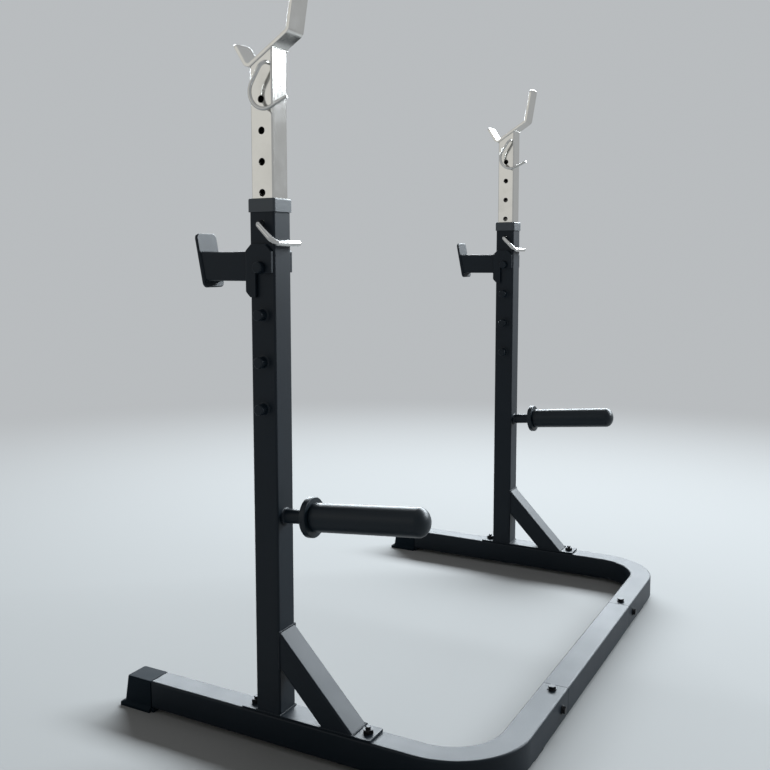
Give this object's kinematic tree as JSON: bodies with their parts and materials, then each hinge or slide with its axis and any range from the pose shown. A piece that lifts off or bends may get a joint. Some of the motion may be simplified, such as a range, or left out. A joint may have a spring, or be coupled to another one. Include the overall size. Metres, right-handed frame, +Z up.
{
  "type": "squat stand",
  "caption": "Squat stand with a bolted U-shaped base, braced uprights, telescoping posts with bar catches, hang-on spotter arms and plate horns",
  "frame": {"origin": "middle of the whole stand's outline, on the floor", "axes": "+X across the stand towards the right-hand upright as seen from the open side, +Y from the open side of the base towards its cross tube, +Z up"},
  "size_m": [1.2372, 0.7842, 1.311],
  "materials": {
    "frame_paint": "satin charcoal powder coat with a blue cast",
    "chrome": "bright chrome plate",
    "cap_plastic": "dark grey moulded plastic, lightly grained",
    "sleeve_plastic": "black moulded plastic with a soft sheen",
    "pad_rubber": "black rubber",
    "fastener_black": "black oxide on steel"
  },
  "bodies": {
    "base": {"cross_tube": "frame_paint", "rail_left": "frame_paint", "splice_sleeve_left": "frame_paint", "splice_bolt_top_left": "fastener_black", "splice_bolt_rear_left": "fastener_black", "end_cap_left": "cap_plastic", "rear_pad_left": "pad_rubber", "foot_plate_left": "frame_paint", "foot_bolt_front_left": "fastener_black", "foot_bolt_back_left": "fastener_black", "foot_nut_front_left": "fastener_black", "foot_nut_back_left": "fastener_black", "upright_left": "frame_paint", "brace_left": "frame_paint", "bush_left": "cap_plastic", "horn_bar_left": "frame_paint", "horn_flange_left": "sleeve_plastic", "horn_sleeve_left": "sleeve_plastic", "rail_right": "frame_paint", "splice_sleeve_right": "frame_paint", "splice_bolt_top_right": "fastener_black", "splice_bolt_rear_right": "fastener_black", "end_cap_right": "cap_plastic", "rear_pad_right": "pad_rubber", "foot_plate_right": "frame_paint", "foot_bolt_front_right": "fastener_black", "foot_bolt_back_right": "fastener_black", "foot_nut_front_right": "fastener_black", "foot_nut_back_right": "fastener_black", "upright_right": "frame_paint", "brace_right": "frame_paint", "bush_right": "cap_plastic", "horn_bar_right": "frame_paint", "horn_flange_right": "sleeve_plastic", "horn_sleeve_right": "sleeve_plastic"},
    "post_left": {"post_left": "chrome", "bar_catch_left": "chrome", "wire_hook_left": "chrome"},
    "pin_left": {"lock_pin_left": "chrome"},
    "arm_left": {"spotter_channel_left": "frame_paint", "spotter_arm_left": "frame_paint", "spotter_stop_left": "frame_paint"},
    "post_right": {"post_right": "chrome", "bar_catch_right": "chrome", "wire_hook_right": "chrome"},
    "pin_right": {"lock_pin_right": "chrome"},
    "arm_right": {"spotter_channel_right": "frame_paint", "spotter_arm_right": "frame_paint", "spotter_stop_right": "frame_paint"}
  },
  "joints": [
    {"name": "post_height_left", "type": "slide", "parent": "base", "child": "post_left", "axis": [0, 0, 1], "range_m": [-0.153, 0.459]},
    {"name": "pin_pull_left", "type": "slide", "parent": "base", "child": "pin_left", "axis": [1, 0, 0], "range_m": [0, 0.065]},
    {"name": "arm_lift_left", "type": "slide", "parent": "base", "child": "arm_left", "axis": [0, 0, 1], "range_m": [0, 0.028]},
    {"name": "post_height_right", "type": "slide", "parent": "base", "child": "post_right", "axis": [0, 0, 1], "range_m": [-0.153, 0.459]},
    {"name": "pin_pull_right", "type": "slide", "parent": "base", "child": "pin_right", "axis": [1, 0, 0], "range_m": [0, 0.065]},
    {"name": "arm_lift_right", "type": "slide", "parent": "base", "child": "arm_right", "axis": [0, 0, 1], "range_m": [0, 0.028]}
  ]
}
